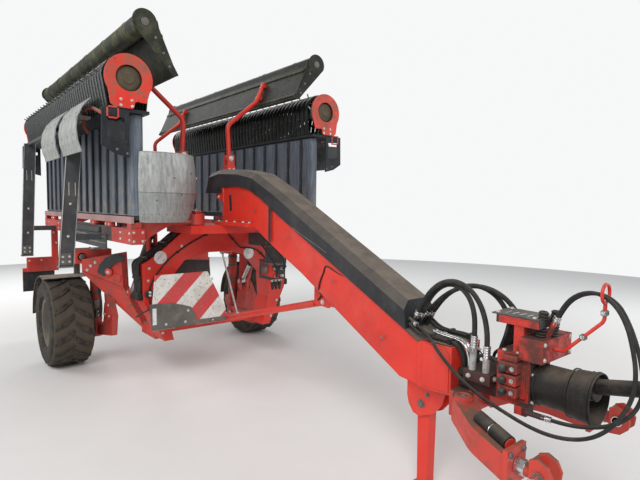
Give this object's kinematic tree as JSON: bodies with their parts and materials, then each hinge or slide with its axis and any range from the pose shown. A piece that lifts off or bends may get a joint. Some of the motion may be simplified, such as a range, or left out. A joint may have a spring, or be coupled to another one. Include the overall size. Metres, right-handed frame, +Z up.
{
  "type": "folded belt merger",
  "caption": "Towed hay merger folded for the road: two belt heads on edge with reels and hoods, an arched axle frame and a gooseneck drawbar.",
  "frame": {"origin": "on the ground at the middle of the machine's length and width", "axes": "+X forward to the tractor, +Y to the machine's left, +Z up"},
  "size_m": [7.866, 3, 3.559],
  "materials": {
    "red_paint": "gloss red paint, dusty and scuffed",
    "black_paint": "satin black paint, dusty",
    "dark_steel": "dark grey painted steel, dusty",
    "worn_steel": "bare worn steel with streaks of grime",
    "bright_steel": "bright ground steel",
    "belt_rubber": "dark grey-blue rubber belt, dusty",
    "cover_plastic": "dull black cover with pale dust on top",
    "guard_plastic": "dull black guard",
    "rim_paint": "red paint under dust",
    "tyre": "dusty black rubber",
    "hose_rubber": "black woven hose sleeve, dusty",
    "board_sheet": "pale sheet with red diagonal stripes"
  },
  "bodies": {
    "chassis": {"chassis_arch": "red_paint", "wheel_arm_left": "red_paint", "wheel_arm_right": "red_paint", "lift_barrel_left": "black_paint", "lift_barrel_right": "black_paint", "lift_rod_left": "bright_steel", "lift_rod_right": "bright_steel", "drawbar": "red_paint", "drawbar_cover": "cover_plastic", "drawbar_head": "red_paint", "hitch_yoke": "red_paint", "hitch_pins": "bright_steel", "gearbox": "red_paint", "pto_guard": "guard_plastic", "hydraulic_motor": "dark_steel", "hose_holder": "dark_steel", "support_strut": "red_paint", "warning_board": "board_sheet", "fender_left": "guard_plastic", "fender_right": "guard_plastic", "hose_arch_a": "hose_rubber", "hose_arch_b": "hose_rubber", "hose_arch_c": "hose_rubber", "hose_arch_d": "hose_rubber", "hose_loop": "hose_rubber", "hose_drop": "hose_rubber"},
    "head_left": {"belt_left": "belt_rubber", "pickup_frame_left": "dark_steel", "end_plates_left": "red_paint", "bands_left": "black_paint", "head_frame_left": "red_paint", "skid_shoes_left": "worn_steel", "skid_posts_left": "dark_steel", "lamp_board_left": "red_paint"},
    "reel_left": {"reel_left": "dark_steel"},
    "hood_left": {"hood_left": "black_paint", "hood_arms_left": "red_paint"},
    "hood_roller_left": {"hood_roller_left": "black_paint"},
    "wheel_left": {"rim_left": "rim_paint", "tyre_left": "tyre"},
    "head_right": {"belt_right": "belt_rubber", "pickup_frame_right": "dark_steel", "end_plates_right": "red_paint", "bands_right": "black_paint", "head_frame_right": "red_paint", "skid_shoes_right": "worn_steel", "skid_posts_right": "dark_steel", "dish_right": "worn_steel", "lamp_board_right": "red_paint"},
    "reel_right": {"reel_right": "dark_steel"},
    "hood_right": {"hood_right": "black_paint", "hood_arms_right": "red_paint"},
    "hood_roller_right": {"hood_roller_right": "black_paint"},
    "wheel_right": {"rim_right": "rim_paint", "tyre_right": "tyre"},
    "stand": {"stand_leg": "red_paint"},
    "pto": {"pto_shaft": "guard_plastic"}
  },
  "joints": [
    {"name": "head_swing_left", "type": "hinge", "parent": "chassis", "child": "head_left", "pos_m": [-0.25, 0.42, 1.72], "axis": [0, 0, 1], "range_deg": [-90, 0]},
    {"name": "reel_spin_left", "type": "hinge", "parent": "head_left", "child": "reel_left", "pos_m": [-2, 1.108, 2.943], "axis": [1, 0, 0], "continuous": true},
    {"name": "hood_tilt_left", "type": "hinge", "parent": "head_left", "child": "hood_left", "pos_m": [-2, 0.29, 2.41], "axis": [1, 0, 0], "range_deg": [0, 20]},
    {"name": "hood_roller_spin_left", "type": "hinge", "parent": "hood_left", "child": "hood_roller_left", "pos_m": [-2, 0.965, 3.452], "axis": [1, 0, 0], "continuous": true},
    {"name": "wheel_spin_left", "type": "hinge", "parent": "chassis", "child": "wheel_left", "pos_m": [-1.94, 1.262, 0.505], "axis": [0, 1, 0], "continuous": true},
    {"name": "head_swing_right", "type": "hinge", "parent": "chassis", "child": "head_right", "pos_m": [-0.25, -0.42, 1.72], "axis": [0, 0, 1], "range_deg": [0, 90]},
    {"name": "reel_spin_right", "type": "hinge", "parent": "head_right", "child": "reel_right", "pos_m": [-2, -1.108, 2.943], "axis": [1, 0, 0], "continuous": true},
    {"name": "hood_tilt_right", "type": "hinge", "parent": "head_right", "child": "hood_right", "pos_m": [-2, -0.29, 2.41], "axis": [1, 0, 0], "range_deg": [-20, 0]},
    {"name": "hood_roller_spin_right", "type": "hinge", "parent": "hood_right", "child": "hood_roller_right", "pos_m": [-2, -0.965, 3.452], "axis": [1, 0, 0], "continuous": true},
    {"name": "wheel_spin_right", "type": "hinge", "parent": "chassis", "child": "wheel_right", "pos_m": [-1.94, -1.262, 0.505], "axis": [0, 1, 0], "continuous": true},
    {"name": "stand_fold", "type": "hinge", "parent": "chassis", "child": "stand", "pos_m": [2.3, 0, 0.59], "axis": [0, 1, 0], "range_deg": [0, 90]},
    {"name": "pto_spin", "type": "hinge", "parent": "chassis", "child": "pto", "pos_m": [3.08, 0, 0.94], "axis": [0.9763, 0, 0.2164], "continuous": true}
  ]
}
